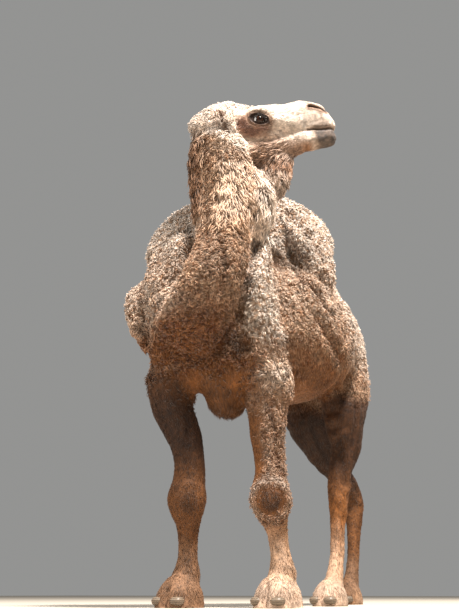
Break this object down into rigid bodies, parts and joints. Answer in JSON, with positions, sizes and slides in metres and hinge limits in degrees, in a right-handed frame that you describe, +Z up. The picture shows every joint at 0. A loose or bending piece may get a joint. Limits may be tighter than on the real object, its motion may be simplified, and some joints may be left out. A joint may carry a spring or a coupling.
{
  "type": "two-humped camel",
  "caption": "Life-size standing two-humped camel with slack, leaning humps, curled wool and its head turned to its left, looking back.",
  "frame": {"origin": "on the floor, under the centre of the camel's bounding box", "axes": "+Z up; the body faces -Y; the camel's own left is +X"},
  "size_m": [0.9158, 1.811, 2.1825],
  "materials": {
    "cream_wool": "matt, thick curled wool, near-white cream",
    "sand_wool": "matt, tight curled wool, pale sand",
    "tan_wool": "matt, long wavy locks, orange tan",
    "brown_hair": "matt, long dark hair",
    "short_coat": "matt, short smooth hair, tan",
    "callus": "dull, bare horny skin",
    "eye": "wet gloss, very dark brown",
    "nail": "dull grey horn"
  },
  "bodies": {
    "root": {"beard": "tan_wool", "breast_pad": "callus", "chest": "sand_wool", "ear_left": "cream_wool", "ear_right": "cream_wool", "eye_left": "eye", "eye_right": "eye", "forefoot_left": "short_coat", "forefoot_right": "short_coat", "foreleg_left_lower": "short_coat", "foreleg_left_upper": "short_coat", "foreleg_right_lower": "short_coat", "foreleg_right_upper": "short_coat", "head": "cream_wool", "hindfoot_left": "short_coat", "hindfoot_right": "short_coat", "hindleg_left_lower": "short_coat", "hindleg_left_upper": "short_coat", "hindleg_right_lower": "short_coat", "hindleg_right_upper": "short_coat", "hindquarters": "sand_wool", "hump_front": "cream_wool", "hump_rear": "cream_wool", "lower_jaw": "cream_wool", "nail_fore_left_inner": "nail", "nail_fore_left_outer": "nail", "nail_fore_right_inner": "nail", "nail_fore_right_outer": "nail", "nail_hind_left_inner": "nail", "nail_hind_left_outer": "nail", "nail_hind_right_inner": "nail", "nail_hind_right_outer": "nail", "neck_lower": "sand_wool", "neck_upper": "sand_wool", "tail": "sand_wool", "tail_tuft": "brown_hair"}
  },
  "joints": []
}
